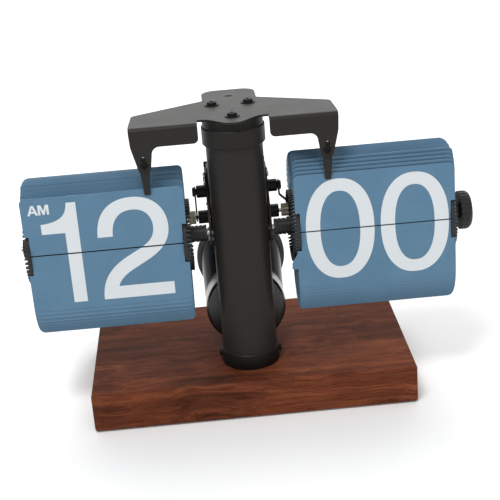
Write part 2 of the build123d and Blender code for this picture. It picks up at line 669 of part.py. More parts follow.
def lay_wheel():
    _, radius = pitch_radii(MINUTE_DRIVE_TEETH, LAY_WHEEL_TEETH)
    turned = LAY_ANGLE + 180 + 180 / LAY_WHEEL_TEETH
    wheel = spur(LAY_Y, LAY_Z, LAY_WHEEL_TEETH, radius, DRIVE_GEAR_X, turned, 1.0)
    for k in range(5):
        a = radians(72 * k)
        wheel -= rod_x(LAY_Y + 7.2 * cos(a), LAY_Z + 7.2 * sin(a), 2.6, 10, 20)
    return wheel


def lay_pinion():
    radius, _ = pitch_radii(LAY_PINION_TEETH, HOUR_DRIVE_TEETH)
    x = (-DRIVE_GEAR_X[1], -DRIVE_GEAR_X[0])
    return spur(LAY_Y, LAY_Z, LAY_PINION_TEETH, radius, x, LAY_ANGLE + 180, 1.0)


def hour_drive_gear():
    _, radius = pitch_radii(LAY_PINION_TEETH, HOUR_DRIVE_TEETH)
    x = (-DRIVE_GEAR_X[1], -DRIVE_GEAR_X[0])
    gear = spur(DRIVE_Y, DRIVE_Z, HOUR_DRIVE_TEETH, radius, x,
                LAY_ANGLE + 180 / HOUR_DRIVE_TEETH, SHAFT_R)
    for k in range(5):
        a = radians(72 * k + 20)
        gear -= rod_x(DRIVE_Y + 7.2 * cos(a), DRIVE_Z + 7.2 * sin(a), 2.6, -20, -10)
    return gear


def lay_shaft():
    return rod_x(LAY_Y, LAY_Z, 1.0, -FRAME_OUT - 0.6, FRAME_OUT + 0.6)


def worm_wheel():
    wheel = spur(DRIVE_Y, DRIVE_Z, 18, 5.3, WORM_WHEEL_X, 0, SHAFT_R, addendum=0.8)
    return wheel


def worm_shaft():
    """The motor's own shaft, with a two-start worm where it passes the worm wheel."""
    shaft = rod_z(0, WORM_Y, WORM_SHAFT_R, MOTOR_TOP - 30.0, 146.0)
    core = rod_z(0, WORM_Y, WORM_R - 0.65, DRIVE_Z - 7.5, DRIVE_Z + 7.5)
    starts = []
    for k in range(2):
        path = Helix(pitch=WORM_LEAD, height=13.0, radius=WORM_R - 0.5)
        path = Pos(0, WORM_Y, DRIVE_Z - 6.5) * Rot(0, 0, 180 * k) * path
        section = Plane(origin=path @ 0, z_dir=path % 0) * Circle(0.5)
        starts.append(sweep(section, path=path, is_frenet=True))
    return (core + shaft).fuse(*starts)


WORM_LEAD = 3.7
MOTOR_R, MOTOR_LOW, MOTOR_TOP = 11.0, 42.0, 74.0


def motor_body():
    can = rod_z(0, WORM_Y, MOTOR_R, MOTOR_LOW, MOTOR_TOP)
    can = fillet(edges_near(can, "Z", MOTOR_TOP) + edges_near(can, "Z", MOTOR_LOW), 1.4)
    can += rod_z(0, WORM_Y, 3.4, MOTOR_TOP - 1, MOTOR_TOP + 2.2)
    return can - rod_z(0, WORM_Y, WORM_SHAFT_R + RUNNING, MOTOR_TOP - 31.0, MOTOR_TOP + 5)


def motor_case():
    """Round front half of the movement's housing, standing just above the base."""
    low, high = MOTOR_CASE_Y
    shell = rod_y(0, MOTOR_CASE_Z, MOTOR_CASE_R, low, high)
    shell = fillet(edges_near(shell, "Y", low), 2.4)
    shell -= rod_y(0, MOTOR_CASE_Z, MOTOR_CASE_R - CASE_WALL, low + CASE_WALL, high + 1)
    for x in SADDLE_X:
        shell -= rod_y(x, MOTOR_CASE_Z, 1.5, low - 1, low + 5)
    return shell - rod_z(0, WORM_Y, 2.2, 80, 95)


def skew_cone(shrink, y_low, y_high):
    low_r, high_r = MOTOR_CASE_R - shrink, SHROUD_BACK_R - shrink
    front = Pos(0, y_low, MOTOR_CASE_Z) * Rot(90, 0, 0) * Circle(low_r)
    back = Pos(0, y_high, SHROUD_BACK_Z) * Rot(90, 0, 0) * Circle(high_r)
    return loft([front, back])


def movement_shroud():
    """Sloping rear half of the housing, from the motor case up to the rear cover."""
    low, high = MOTOR_CASE_Y[1], SHROUD_BACK_Y
    return skew_cone(0, low, high) - skew_cone(CASE_WALL, low, high)


def rear_cover():
    cover = rod_y(0, SHROUD_BACK_Z, COVER_R, SHROUD_BACK_Y, COVER_BACK_Y)
    cover = fillet(edges_near(cover, "Y", COVER_BACK_Y), 2.2)
    cover = chamfer(edges_near(cover, "Y", SHROUD_BACK_Y), 0.6)
    cover -= rod_y(0, SHROUD_BACK_Z, SHROUD_BACK_R - CASE_WALL, 60, COVER_BACK_Y - 2.0)
    for x in range(-2, 3):
        slot = block((6.0 * x - 1.2, 6.0 * x + 1.2), (60, 80), (68.0, 84.0))
        cover -= fillet(slot.edges().filter_by(Axis.Y), 1.1)
    for x, z in COVER_SCREWS:
        cover -= rod_y(x, z, 1.3, 60, 80)
    return cover


COVER_SCREWS = [(23.0 * cos(radians(a)), SHROUD_BACK_Z + 23.0 * sin(radians(a)))
                for a in (30, 150, 270)]


def cover_screws():
    screw = Rot(-90, 0, 0) * pan_screw(2.8, 1.6, 1.3, 7.0)
    return [Pos(x, COVER_BACK_Y, z) * screw for x, z in COVER_SCREWS]


SADDLE_X = (-8.0, 8.0)


def case_saddle():
    """Block between the column and the housing, hollowed to fit the tube."""
    pad = block((-13.0, 13.0), (8.0, MOTOR_CASE_Y[0]), (50.0, 70.0))
    pad -= rod_z(0, 0, TUBE_R, 40, 80)
    for x in SADDLE_X:
        pad -= rod_y(x, MOTOR_CASE_Z, 1.5, 0, 30)
    return pad


def saddle_screws():
    made = []
    face = MOTOR_CASE_Y[0] + CASE_WALL
    for x in SADDLE_X:
        made.append(rod_y(x, MOTOR_CASE_Z, 1.5, 16.6, face) + rod_y(x, MOTOR_CASE_Z, 2.8, face, face + 1.5))
    return made


# ---------------------------------------------------------------- writing the parts
def nodes():
    minute = (MINUTE_LEAVES, MINUTE_FRONT_LEANS)
    hour = (HOUR_LEAVES, HOUR_FRONT_LEANS)
    return {
        "base_block": base_block(),
        "base_felt": base_felt(),
        "foot_nut": foot_nut(),
        "battery_door": battery_door(),
        "battery_spring": battery_spring(),
        "battery_cell": battery_cell(),
        "battery_contact": battery_contact(),
        "foot_collar": foot_collar(),
        "foot_screws": foot_screws(),
        "column_tube": column_tube(),
        "column_cap": column_cap(),
        "crossarm_plate": crossarm_plate(),
        "crossarm_screws": crossarm_screws(),
        "hour_finger": finger(-1),
        "minute_finger": finger(1),
        "finger_screws": finger_screws(),
        "hanger_bracket": hanger_bracket(),
        "frame_plate_right": frame_plate(),
        "frame_plate_left": mirror_x(frame_plate()),
        "frame_spacers": frame_spacers(),
        "frame_screws": frame_screws(),
        "gearbox_cover": gearbox_cover(),
        "cross_bar": cross_bar(),
        "bar_collars": bar_collars(),
        "hour_shaft_arm": hour_shaft_arm(),
        "minute_shaft_arm": minute_shaft_arm(),
        "bearing_tube_right": bearing_tube(),
        "bearing_tube_left": mirror_x(bearing_tube()),
        "minute_drive_shaft": drive_shaft(-4.4, MESH_X[1] + 1.7),
        "minute_drive_pinion": drive_pinion(10),
        "minute_drive_gear": minute_drive_gear(),
        "worm_wheel": worm_wheel(),
        "hour_drive_shaft": drive_shaft(-MESH_X[1] - 0.5, -6.0),
        "hour_drive_pinion": mirror_x(drive_pinion(8)),
        "hour_drive_gear": hour_drive_gear(),
        "lay_shaft": lay_shaft(),
        "lay_wheel": lay_wheel(),
        "lay_pinion": lay_pinion(),
        "worm_shaft": worm_shaft(),
        "motor_body": motor_body(),
        "motor_case": motor_case(),
        "movement_shroud": movement_shroud(),
        "rear_cover": rear_cover(),
        "cover_screws": cover_screws(),
        "case_saddle": case_saddle(),
        "saddle_screws": saddle_screws(),
        "main_axle": main_axle(),
        "minute_wheel_inner": inner_wheel(MINUTE_LEAVES, DRIVE_ANGLE + 3.0),
        "minute_wheel_outer": outer_wheel(MINUTE_LEAVES, DRIVE_ANGLE + 3.0),
        "minute_drum_tube": drum_tube(KNOB[0]),
        "time_knob": time_knob(),
        "hour_wheel_inner": mirror_x(inner_wheel(HOUR_LEAVES, DRIVE_ANGLE + 3.75)),
        "hour_wheel_outer": mirror_x(outer_wheel(HOUR_LEAVES, DRIVE_ANGLE + 3.75)),
        "hour_drum_tube": mirror_x(drum_tube(153.6)),
        "hour_end_cap": hour_end_cap(),
        "minute_front_leaf": front_leaf(*minute, MINUTE_BELOW, 1),
        "minute_leaves": leaf_pack(*minute, MINUTE_LIE_BACK, MINUTE_BELOW, 1, True),
        "hour_front_leaf": front_leaf(*hour, HOUR_BELOW, -1),
        "hour_leaves": leaf_pack(*hour, HOUR_LIE_BACK, HOUR_BELOW, -1, False),
    }


def write(name, shape):
    pieces = shape if isinstance(shape, list) else [shape]
    solids = [solid for piece in pieces for solid in piece.solids()]
    moved = [Pos(0, COLUMN_Y, 0) * solid for solid in solids]
    whole = moved[0] if len(moved) == 1 else Compound(children=moved)
    export_step(whole, f"parts/{name}.step")


os.makedirs("parts", exist_ok=True)
for node_name, node_shape in nodes().items():
    write(node_name, node_shape)
print("pinion and drum axes:", round(DRIVE_Y + COLUMN_Y, 4), round(DRIVE_Z, 4),
      round(LAY_Y + COLUMN_Y, 4), round(LAY_Z, 4))
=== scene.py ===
"""Looks for the desk flip clock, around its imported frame. Metres, the frame's own axes."""
import json
import math

import bmesh
import bpy
from mathutils import Matrix, Vector
from mathutils.geometry import tessellate_polygon


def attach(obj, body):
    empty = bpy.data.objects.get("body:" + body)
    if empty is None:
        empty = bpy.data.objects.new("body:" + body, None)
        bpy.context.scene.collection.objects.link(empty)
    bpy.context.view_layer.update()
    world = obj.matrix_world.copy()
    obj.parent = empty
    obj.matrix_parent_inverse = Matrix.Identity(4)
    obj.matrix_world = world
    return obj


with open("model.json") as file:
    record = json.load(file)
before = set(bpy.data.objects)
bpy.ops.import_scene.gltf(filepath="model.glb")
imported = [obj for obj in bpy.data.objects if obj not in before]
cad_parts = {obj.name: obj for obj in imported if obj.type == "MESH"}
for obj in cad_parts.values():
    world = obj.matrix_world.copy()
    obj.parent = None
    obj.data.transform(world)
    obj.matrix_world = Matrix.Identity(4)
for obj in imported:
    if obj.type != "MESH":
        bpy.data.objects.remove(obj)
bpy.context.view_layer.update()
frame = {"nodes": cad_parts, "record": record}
nodes = frame["nodes"]
MM = 0.001

# ------------------------------------------------------------------ where the leaves are, in mm and degrees
COLUMN_Y = -31.0
AXIS_Y, AXIS_Z = 9.5, 127.6           # the drums' axis, Y taken from the column's
HINGE_R = 24.0                        # the leaves' pivots lie on this radius
SPLIT_ANGLE = 6.6                     # the gap between the two halves, above the axis
LEAF_THICK = 0.18
HOUR_PITCH, MINUTE_PITCH = 7.5, 6.0   # angle from one leaf's pivot to the next
FRONT_LEAN, FRONT_PLAY = 0.5, 0.25    # the front leaf leans back, its ears forward in their holes
SECOND_LEAN = {HOUR_PITCH: 12.6, MINUTE_PITCH: 1.2}   # lean of the leaf behind the front one
BELOW = {HOUR_PITCH: 1.15, MINUTE_PITCH: 0.9}         # how far a leaf reaches past its pivot
LEAF_GAP = 0.05                       # air between two hanging leaves

# ------------------------------------------------------------------ the print on the leaves, in mm
PRINT_THICK, PRINT_LIFT = 0.03, 0.004
PRINT_MARGIN = 0.05                   # the print stops this far from the leaf's cut
DIGIT_LOW, DIGIT_HEIGHT = 93.2, 74.6
ZERO_WIDTH, ZERO_WALL = 48.6, (10.2, 9.0)             # wall at the sides, and at top and bottom
ZERO_OUTER, ZERO_INNER = 2.25, 2.3                    # powers of the two superellipses
HOUR_ONE_X, HOUR_TWO_X = -138.9, -101.2
ZERO_X, SECOND_ZERO_X, MINUTE_ONE_X = 45.2, 98.3, 108.6
LETTER_A_X, LETTER_M_X, LETTER_Z = -146.8, -139.2, 160.4
CURVE_STEPS, RING_STEPS = 14, 72
SAME_PLANE = 0.002                    # radians; flat neighbours within this are joined

# ------------------------------------------------------------------ ear tips, in mm
EAR_RADII = (24.1, 25.3)
EAR_HALF = 0.45
EAR_STRAIGHT, EAR_TIP = 0.6, (0.4, 0.6)               # share of the length, and of the width at the tip
EARS_IN, EARS_OUT = (37.1, 38.9), (150.9, 152.3)

# ------------------------------------------------------------------ stage
FLOOR_HALF = 6.0
WORLD_LIGHT, WORLD_SEEN = 0.46, 0.95
CAMERA_AT = (-0.02295, -0.82786, 0.42828)
CAMERA_YAW, CAMERA_PITCH, CAMERA_ROLL = -0.0354, 0.3744, -0.0781
SENSOR_MM, LENS_MM = 36.0, 85.69


def pivot(angle):
    a = math.radians(angle)
    return AXIS_Y - HINGE_R * math.cos(a), AXIS_Z + HINGE_R * math.sin(a)


def hanging_play(angle, pitch):
    """How far forward the next leaf pushes a hanging one."""
    behind = pivot(angle - pitch)[0] - pivot(angle)[0]
    return max(0.0, LEAF_THICK + LEAF_GAP - behind)


def on_leaf(angle, lean, forward=0.0, front=True):
    """Maps (x, distance from the pivot, height off the face) in mm to a point in metres."""
    y0, z0 = pivot(angle)
    t = math.radians(lean)
    along = (math.sin(t), math.cos(t))
    out = (-math.cos(t), math.sin(t))
    hanging = lean > 90
    if hanging == front:
        out = (-out[0], -out[1])

    def place(x, v, lift):
        h = LEAF_THICK / 2 + lift
        y = y0 - forward + v * along[0] + h * out[0]
        z = z0 + v * along[1] + h * out[1]
        return Vector((x, y + COLUMN_Y, z)) * MM

    return place


# ------------------------------------------------------------------ materials
class Graph:
    """A small helper for building a node material."""

    def __init__(self, name):
        self.material = bpy.data.materials.new(name)
        self.material.use_nodes = True
        self.tree = self.material.node_tree
        self.shader = self.tree.nodes["Principled BSDF"]
        self.coords = self.tree.nodes.new("ShaderNodeTexCoord").outputs["Object"]

    def node(self, kind, inputs=None, **fields):
        made = self.tree.nodes.new(kind)
        for key, value in fields.items():
            setattr(made, key, value)
        for key, value in (inputs or {}).items():
            self.put(made.inputs[key], value)
        return made

    def put(self, socket, value):
        if isinstance(value, bpy.types.NodeSocket):
            self.tree.links.new(value, socket)
        else:
            socket.default_value = value

    def set(self, **values):
        """Sets the shader's own sockets; an underscore stands for a space."""
        for key, value in values.items():
            self.put(self.shader.inputs[key.replace("_", " ")], value)

    def scaled(self, x, y, z, vector=None):
        source = self.coords if vector is None else vector
        return self.node("ShaderNodeMapping", {"Vector": source, "Scale": (x, y, z)}).outputs[0]

    def noise(self, vector, scale=1.0, detail=4.0, rough=0.55, warp=0.0):
        made = self.node("ShaderNodeTexNoise", {
            "Vector": vector, "Scale": scale, "Detail": detail,
            "Roughness": rough, "Distortion": warp})
        return made.outputs["Fac"]

    def ramp(self, factor, stops):
        made = self.node("ShaderNodeValToRGB", {"Fac": factor})
        band = made.color_ramp
        while len(band.elements) < len(stops):
            band.elements.new(0.5)
        for element, (place, colour) in zip(band.elements, stops):
            element.position = place
            element.color = solid(colour)
        return made.outputs["Color"]

    def spread(self, factor, low, high):
        """0 to 1 becomes low to high."""
        return self.node("ShaderNodeMapRange", {
            "Value": factor, "To Min": low, "To Max": high}).outputs["Result"]

    def between(self, value, zero_at, one_at):
        """0 at one value, 1 at the other, clamped."""
        return self.node("ShaderNodeMapRange", {
            "Value": value, "From Min": zero_at, "From Max": one_at}).outputs["Result"]

    def math(self, operation, a, b):
        made = self.node("ShaderNodeMath", operation=operation)
        self.put(made.inputs[0], a)
        self.put(made.inputs[1], b)
        return made.outputs[0]

    def part(self, vector, axis):
        return self.node("ShaderNodeSeparateXYZ", {"Vector": vector}).outputs[axis]

    def mix(self, factor, a, b, blend="MIX"):
        made = self.node("ShaderNodeMix", data_type="RGBA", blend_type=blend)
        self.put(made.inputs["Factor"], factor)
        self.put(made.inputs["A"], a)
        self.put(made.inputs["B"], b)
        return made.outputs["Result"]

    def bump(self, height, strength, distance):
        made = self.node("ShaderNodeBump", {
            "Height": height, "Strength": strength, "Distance": distance})
        self.put(self.shader.inputs["Normal"], made.outputs["Normal"])

    def convex_edges(self):
        """1 along convex edges, 0 elsewhere."""
        pointed = self.node("ShaderNodeNewGeometry").outputs["Pointiness"]
        return self.between(pointed, zero_at=0.52, one_at=0.60)


def srgb(r, g, b):
    return tuple(((c / 255 + 0.055) / 1.055) ** 2.4 for c in (r, g, b))


def solid(rgb):
    return (*rgb, 1.0)


def leaf_blue():
    """Printed film: an even coat with a very fine grain, pale edges that are partly the film's paler cut
    and partly a painted highlight, and painted shade in the narrow gaps between leaves.
    """
    g = Graph("leaf_blue")
    cloud = g.noise(g.coords, scale=55.0, detail=3.0)
    grain = g.noise(g.coords, scale=3200.0, detail=2.0)
    tint = g.ramp(cloud, [(0.3, srgb(84, 119, 145)), (0.7, srgb(89, 124, 150))])
    # Pale tint where the normal turns away from Y: partly the film's paler cut edge, partly a painted
    # highlight where the top light would catch the edges.
    normal = g.node("ShaderNodeTexCoord").outputs["Normal"]
    facing = g.math("ABSOLUTE", g.part(normal, "Y"), 0.0)
    tint = g.mix(g.between(facing, zero_at=0.75, one_at=0.6), tint, solid(srgb(158, 186, 204)))
    # Painted shade: ambient occlusion mixes in dark blue where neighbouring leaves close in, as shade in
    # the narrow gaps.
    ao_for_painted_shade = g.node("ShaderNodeAmbientOcclusion", {"Distance": 0.0026}, samples=12).outputs["AO"]
    tint = g.mix(g.spread(ao_for_painted_shade, low=0.95, high=0.0), tint, solid(srgb(38, 58, 74)))
    g.set(Base_Color=tint, Roughness=g.spread(grain, low=0.42, high=0.55), Specular_IOR_Level=0.25)
    g.bump(grain, strength=0.12, distance=0.00004)
    return g.material


def numeral_white():
    """Screen-printed white, with a very fine grain."""
    g = Graph("numeral_white")
    grain = g.noise(g.coords, scale=2600.0, detail=2.0)
    tint = g.ramp(grain, [(0.3, srgb(206, 212, 215)), (0.7, srgb(214, 219, 222))])
    g.set(Base_Color=tint, Roughness=g.spread(grain, low=0.45, high=0.58), Specular_IOR_Level=0.25)
    g.bump(grain, strength=0.1, distance=0.00003)
    return g.material


def black_paint():
    """Satin black powder coat: orange-peel texture, faint mottling, thin bright edges."""
    g = Graph("black_paint")
    peel = g.noise(g.coords, scale=1500.0, detail=3.0, rough=0.5)
    mottle = g.noise(g.coords, scale=90.0)
    speck = g.noise(g.coords, scale=4200.0, detail=1.0)
    tint = g.ramp(mottle, [(0.3, srgb(10, 8, 6)), (0.75, srgb(16, 14, 12))])
    # Convex edges are painted lighter.
    tint = g.mix(g.math("MULTIPLY", g.convex_edges(), 0.22), tint, solid(srgb(78, 75, 72)))
    g.set(Base_Color=tint, Roughness=g.spread(mottle, low=0.37, high=0.49), Specular_IOR_Level=0.17)
    rough = g.math("ADD", peel, g.math("MULTIPLY", speck, 0.4))
    g.bump(rough, strength=0.22, distance=0.00006)
    return g.material


def moulded_black():
    """Moulded plastic: fine texture, slow tone changes, slightly lighter convex edges."""
    g = Graph("moulded_black")
    fine = g.noise(g.coords, scale=2400.0, detail=3.0)
    wide = g.noise(g.coords, scale=60.0, detail=3.0)
    tint = g.ramp(wide, [(0.3, srgb(22, 21, 21)), (0.7, srgb(29, 28, 27))])
    # Convex edges are painted lighter.
    tint = g.mix(g.math("MULTIPLY", g.convex_edges(), 0.2), tint, solid(srgb(70, 68, 66)))
    g.set(Base_Color=tint, Roughness=g.spread(fine, low=0.38, high=0.55), Specular_IOR_Level=0.3)
    g.bump(fine, strength=0.15, distance=0.00005)
    return g.material


def gloss_black():
    """The housing's semi-gloss lacquer, with a light haze."""
    g = Graph("gloss_black")
    haze = g.noise(g.coords, scale=40.0, detail=5.0, rough=0.6)
    streak = g.noise(g.scaled(900.0, 60.0, 900.0), detail=3.0)
    tint = g.ramp(haze, [(0.3, srgb(20, 20, 21)), (0.75, srgb(27, 27, 28))])
    polish = g.spread(g.math("MULTIPLY", haze, streak), low=0.26, high=0.38)
    g.set(Base_Color=tint, Roughness=polish, Coat_Weight=0.5, Coat_Roughness=0.22)
    g.bump(haze, strength=0.05, distance=0.0002)
    return g.material


def walnut():
    """Oiled walnut: wavering growth bands along X, fine streaks, dark pores, colour drift."""
    g = Graph("walnut")
    slow = g.noise(g.scaled(9.0, 16.0, 16.0), detail=2.0)
    quick = g.noise(g.scaled(34.0, 60.0, 60.0), detail=3.0)
    wander = g.math("ADD", g.math("MULTIPLY", slow, 0.040), g.math("MULTIPLY", quick, 0.0035))
    shift = g.node("ShaderNodeCombineXYZ", {"Y": wander, "Z": wander}).outputs[0]
    bent = g.node("ShaderNodeVectorMath", {0: g.coords, 1: shift}, operation="ADD").outputs[0]

    bands = g.noise(g.scaled(4.0, 110.0, 150.0, bent), detail=6.0, rough=0.66, warp=0.4)
    streaks = g.noise(g.scaled(22.0, 620.0, 760.0, bent), rough=0.62)
    pores = g.noise(g.scaled(150.0, 2300.0, 2600.0, bent), detail=2.0)
    drift = g.noise(g.scaled(9.0, 14.0, 20.0), detail=3.0)
    base = g.ramp(bands, [(0.30, srgb(48, 25, 17)), (0.44, srgb(92, 49, 33)),
                          (0.56, srgb(120, 65, 43)), (0.72, srgb(156, 94, 62))])
    patches = g.ramp(drift, [(0.38, srgb(62, 34, 24)), (0.62, srgb(138, 76, 50))])
    base = g.mix(0.4, base, patches)
    fine = g.ramp(streaks, [(0.38, (0.42, 0.38, 0.36)), (0.58, (1.0, 1.0, 1.0))])
    base = g.mix(0.62, base, fine, "MULTIPLY")
    pits = g.between(pores, zero_at=0.30, one_at=0.42)
    dark_pits = g.ramp(pits, [(0.0, (0.32, 0.27, 0.25)), (1.0, (1.0, 1.0, 1.0))])
    base = g.mix(0.8, base, dark_pits, "MULTIPLY")
    g.set(Base_Color=base, Roughness=g.spread(streaks, low=0.5, high=0.7), Specular_IOR_Level=0.05)
    g.bump(g.math("ADD", pits, g.math("MULTIPLY", streaks, 0.6)), strength=0.35, distance=0.00012)
    return g.material


def felt():
    """Dark felt, fibrous and without gloss."""
    g = Graph("felt")
    fibre = g.noise(g.coords, scale=1800.0, detail=5.0, rough=0.7)
    tint = g.ramp(fibre, [(0.3, srgb(24, 24, 26)), (0.7, srgb(48, 48, 50))])
    g.set(Base_Color=tint, Roughness=0.95, Sheen_Weight=0.4)
    g.bump(fibre, strength=0.8, distance=0.0002)
    return g.material


def metal(name, low, high):
    """Bare machined metal, between two tones."""
    g = Graph(name)
    lines = g.noise(g.scaled(900.0, 900.0, 900.0), detail=3.0, rough=0.6)
    tint = g.ramp(lines, [(0.3, low), (0.7, high)])
    g.set(Base_Color=tint, Metallic=1.0, Roughness=g.spread(lines, low=0.24, high=0.4))
    g.bump(lines, strength=0.12, distance=0.00003)
    return g.material


def nylon():
    """Cream moulded nylon, slightly translucent."""
    g = Graph("nylon")
    cloud = g.noise(g.coords, scale=300.0, detail=3.0)
    tint = g.ramp(cloud, [(0.3, srgb(214, 206, 186)), (0.7, srgb(226, 219, 201))])
    g.set(Base_Color=tint, Roughness=g.spread(cloud, low=0.34, high=0.48),
          Subsurface_Weight=0.15, Subsurface_Scale=0.001)
    g.bump(cloud, strength=0.1, distance=0.00004)
    return g.material


def cell_jacket():
    """The cell's plain film: dark below, copper above."""
    g = Graph("cell_jacket")
    film = g.noise(g.coords, scale=200.0, detail=3.0)
    upper = g.between(g.part(g.coords, "Z"), zero_at=0.060, one_at=0.0602)
    tint = g.mix(upper, solid(srgb(38, 38, 42)), solid(srgb(176, 120, 62)))
    g.set(Base_Color=tint, Roughness=g.spread(film, low=0.22, high=0.34))
    return g.material


def floor_white():
    g = Graph("floor_white")
    cloud = g.noise(g.coords, scale=3.0, detail=2.0)
    tint = g.ramp(cloud, [(0.3, (0.95, 0.95, 0.95)), (0.7, (0.97, 0.97, 0.97))])
    g.set(Base_Color=tint, Roughness=0.9)
    return g.material


blue, white = leaf_blue(), numeral_white()
FINISH = {
    "walnut": walnut(), "felt": felt(), "black_paint": black_paint(),
    "steel": metal("steel", srgb(168, 168, 170), srgb(196, 196, 198)),
    "brass": metal("brass", srgb(176, 144, 84), srgb(205, 172, 104)),
    "black_plastic": moulded_black(), "black_gloss": gloss_black(), "leaf_blue": blue,
    "nylon": nylon(), "cell_jacket": cell_jacket()}

for entry in frame["record"]["subparts"]:
    mesh = nodes[entry["node"]].data
    mesh.materials.clear()
    mesh.materials.append(FINISH[entry["material_slot"]])
    mesh.update()


def new_object(name, mesh, material):
    """The bmesh as an object in the scene."""
    data = bpy.data.meshes.new(name)
    mesh.to_mesh(data)
    mesh.free()
    data.materials.append(material)
    made = bpy.data.objects.new(name, data)
    bpy.context.scene.collection.objects.link(made)
    return made


# ------------------------------------------------------------------ numerals
def bezier(a, b, c, d):
    """Points of a cubic curve after its start."""
    points = []
    for i in range(1, CURVE_STEPS + 1):
        t = i / CURVE_STEPS
        s = 1 - t
        weights = (s * s * s, 3 * s * s * t, 3 * s * t * t, t * t * t)
        points.append(tuple(sum(w * p[k] for w, p in zip(weights, (a, b, c, d))) for k in (0, 1)))
    return points


def outline(start, *pieces):
    """A closed outline: a piece is one point, or three for a cubic curve."""
    points = [start]
    for piece in pieces:
        if len(piece) == 2:
            points.append(piece)
        else:
            points += bezier(points[-1], *piece)
    return points


def superellipse(cx, cz, rx, rz, power):
    points = []
    for k in range(RING_STEPS):
        t = 2 * math.pi * k / RING_STEPS
        c, s = math.cos(t), math.sin(t)
        points.append((cx + rx * math.copysign(abs(c) ** (2 / power), c),
                       cz + rz * math.copysign(abs(s) ** (2 / power), s)))
    return points


# Each character is a list of shapes, a shape is its outline and its holes, and the
# lower left corner of the character is at the origin.
def digit_zero():
    cx, cz = ZERO_WIDTH / 2, DIGIT_HEIGHT / 2
    side, end = ZERO_WALL
    return [[superellipse(cx, cz, cx, cz, ZERO_OUTER),
             superellipse(cx, cz, cx - side, cz - end, ZERO_INNER)]]


def digit_one():
    top = DIGIT_HEIGHT
    return [[outline((16.4, 0), (25.9, 0), (25.9, top), (19.3, top),
                     ((18.6, 67.0), (15.8, 60.8), (0.2, 60.0)), (0.2, 52.6), (16.4, 52.6))]]


def digit_two():
    top = DIGIT_HEIGHT
    return [[outline((0.6, 46.8),
                     ((0.6, 64.4), (10.4, top), (26.6, top)),
                     ((41.6, top), (50.4, 64.6), (50.4, 51.0)),
                     ((50.4, 40.2), (44.0, 33.8), (36.0, 28.6)),
                     ((26.6, 22.6), (14.2, 18.4), (11.6, 9.3)),
                     (50.6, 9.3), (50.6, 0), (0.2, 0),
                     ((0.2, 14.6), (6.6, 23.6), (19.8, 31.2)),
                     ((31.6, 37.8), (39.8, 40.6), (39.8, 51.6)),
                     ((39.8, 60.0), (34.6, 65.4), (26.6, 65.4)),
                     ((17.2, 65.4), (11.2, 59.4), (11.2, 46.8)))]]


def letter_a():
    return [[[(0, 0), (2.9, 7.2), (4.7, 7.2), (7.5, 0), (5.7, 0), (5.15, 1.6), (2.25, 1.6), (1.7, 0)],
             [(2.75, 3.0), (4.65, 3.0), (3.75, 5.6)]]]


def letter_m():
    return [[[(0, 0), (0, 7.2), (2.2, 7.2), (3.75, 2.9), (5.3, 7.2), (7.5, 7.2), (7.5, 0), (5.95, 0),
              (5.95, 4.9), (4.35, 0), (3.15, 0), (1.55, 4.9), (1.55, 0)]]]


def moved(shapes, x, z):
    return [[[(px + x, pz + z) for px, pz in loop] for loop in shape] for shape in shapes]


def digits(*placed):
    """Digits, each with its left side, on the digits' common foot."""
    return [shape for digit, x in placed for shape in moved(digit(), x, DIGIT_LOW)]


HOUR_READING = (digits((digit_one, HOUR_ONE_X), (digit_two, HOUR_TWO_X))
                + moved(letter_a(), LETTER_A_X, LETTER_Z) + moved(letter_m(), LETTER_M_X, LETTER_Z))
ZERO_ZERO = digits((digit_zero, ZERO_X), (digit_zero, SECOND_ZERO_X))
ZERO_ONE = digits((digit_zero, ZERO_X), (digit_one, MINUTE_ONE_X))


def printed_half(name, shapes, upper, edge_z, place, body):
    """Half of a reading as a thin raised print on one leaf's face."""
    mesh = bmesh.new()
    for shape in shapes:
        loops = [[Vector((x, z, 0)) for x, z in loop] for loop in shape]
        corners = [mesh.verts.new(point) for loop in loops for point in loop]
        for triangle in tessellate_polygon(loops):
            mesh.faces.new([corners[i] for i in triangle])
    everything = mesh.verts[:] + mesh.edges[:] + mesh.faces[:]
    away = -1 if upper else 1
    bmesh.ops.bisect_plane(mesh, geom=everything, plane_co=(0, edge_z, 0), plane_no=(0, away, 0),
                           clear_outer=True)
    bmesh.ops.dissolve_limit(mesh, angle_limit=SAME_PLANE, verts=mesh.verts[:], edges=mesh.edges[:])
    bmesh.ops.recalc_face_normals(mesh, faces=mesh.faces[:])
    made = bmesh.ops.extrude_face_region(mesh, geom=mesh.faces[:])
    for item in made["geom"]:
        if isinstance(item, bmesh.types.BMVert):
            item.co.z += PRINT_THICK
    for v in mesh.verts:
        v.co = place(v.co.x, v.co.y, v.co.z + PRINT_LIFT)
    bmesh.ops.recalc_face_normals(mesh, faces=mesh.faces[:])
    piece = new_object(name, mesh, white)
    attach(piece, body)


